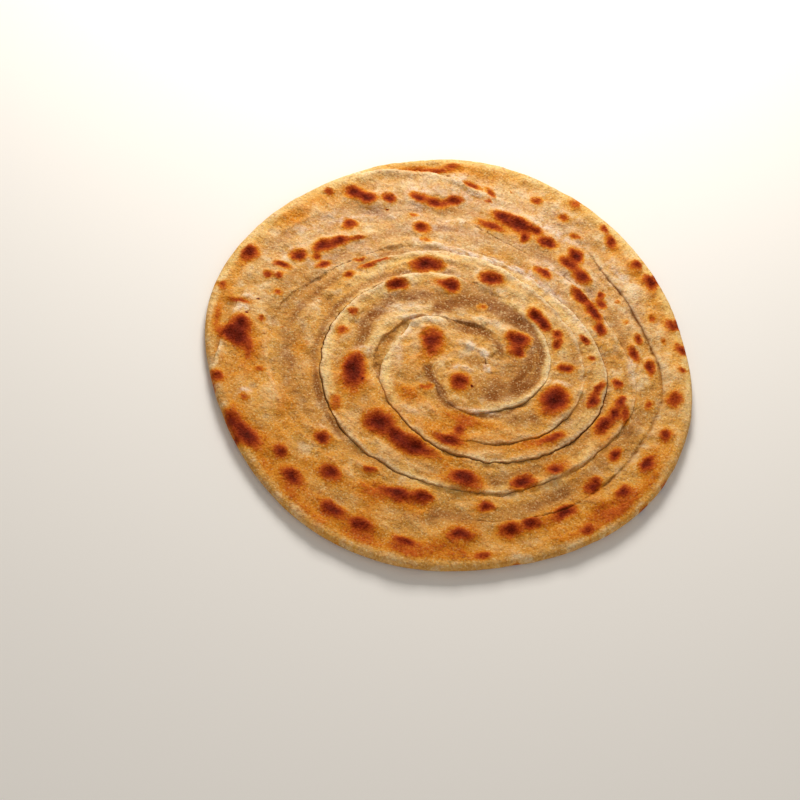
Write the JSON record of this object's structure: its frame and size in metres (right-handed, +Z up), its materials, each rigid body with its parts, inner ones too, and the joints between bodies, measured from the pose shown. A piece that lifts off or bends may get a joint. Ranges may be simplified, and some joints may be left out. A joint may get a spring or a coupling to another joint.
{
  "type": "paratha flatbread",
  "caption": "Round griddle-baked flatbread of coiled, layered wheat dough, with a spiral of raised folds on its upper side and a flat underside.",
  "frame": {"origin": "middle of the bread's outline on the surface that it lies on", "axes": "+Z up out of the coiled upper side, +X to the right and +Y away from the viewer, as the coil is shown"},
  "size_m": [0.1828, 0.184, 0.0061],
  "materials": {
    "baked_dough": null
  },
  "bodies": {
    "root": {"paratha": "baked_dough"}
  },
  "joints": []
}
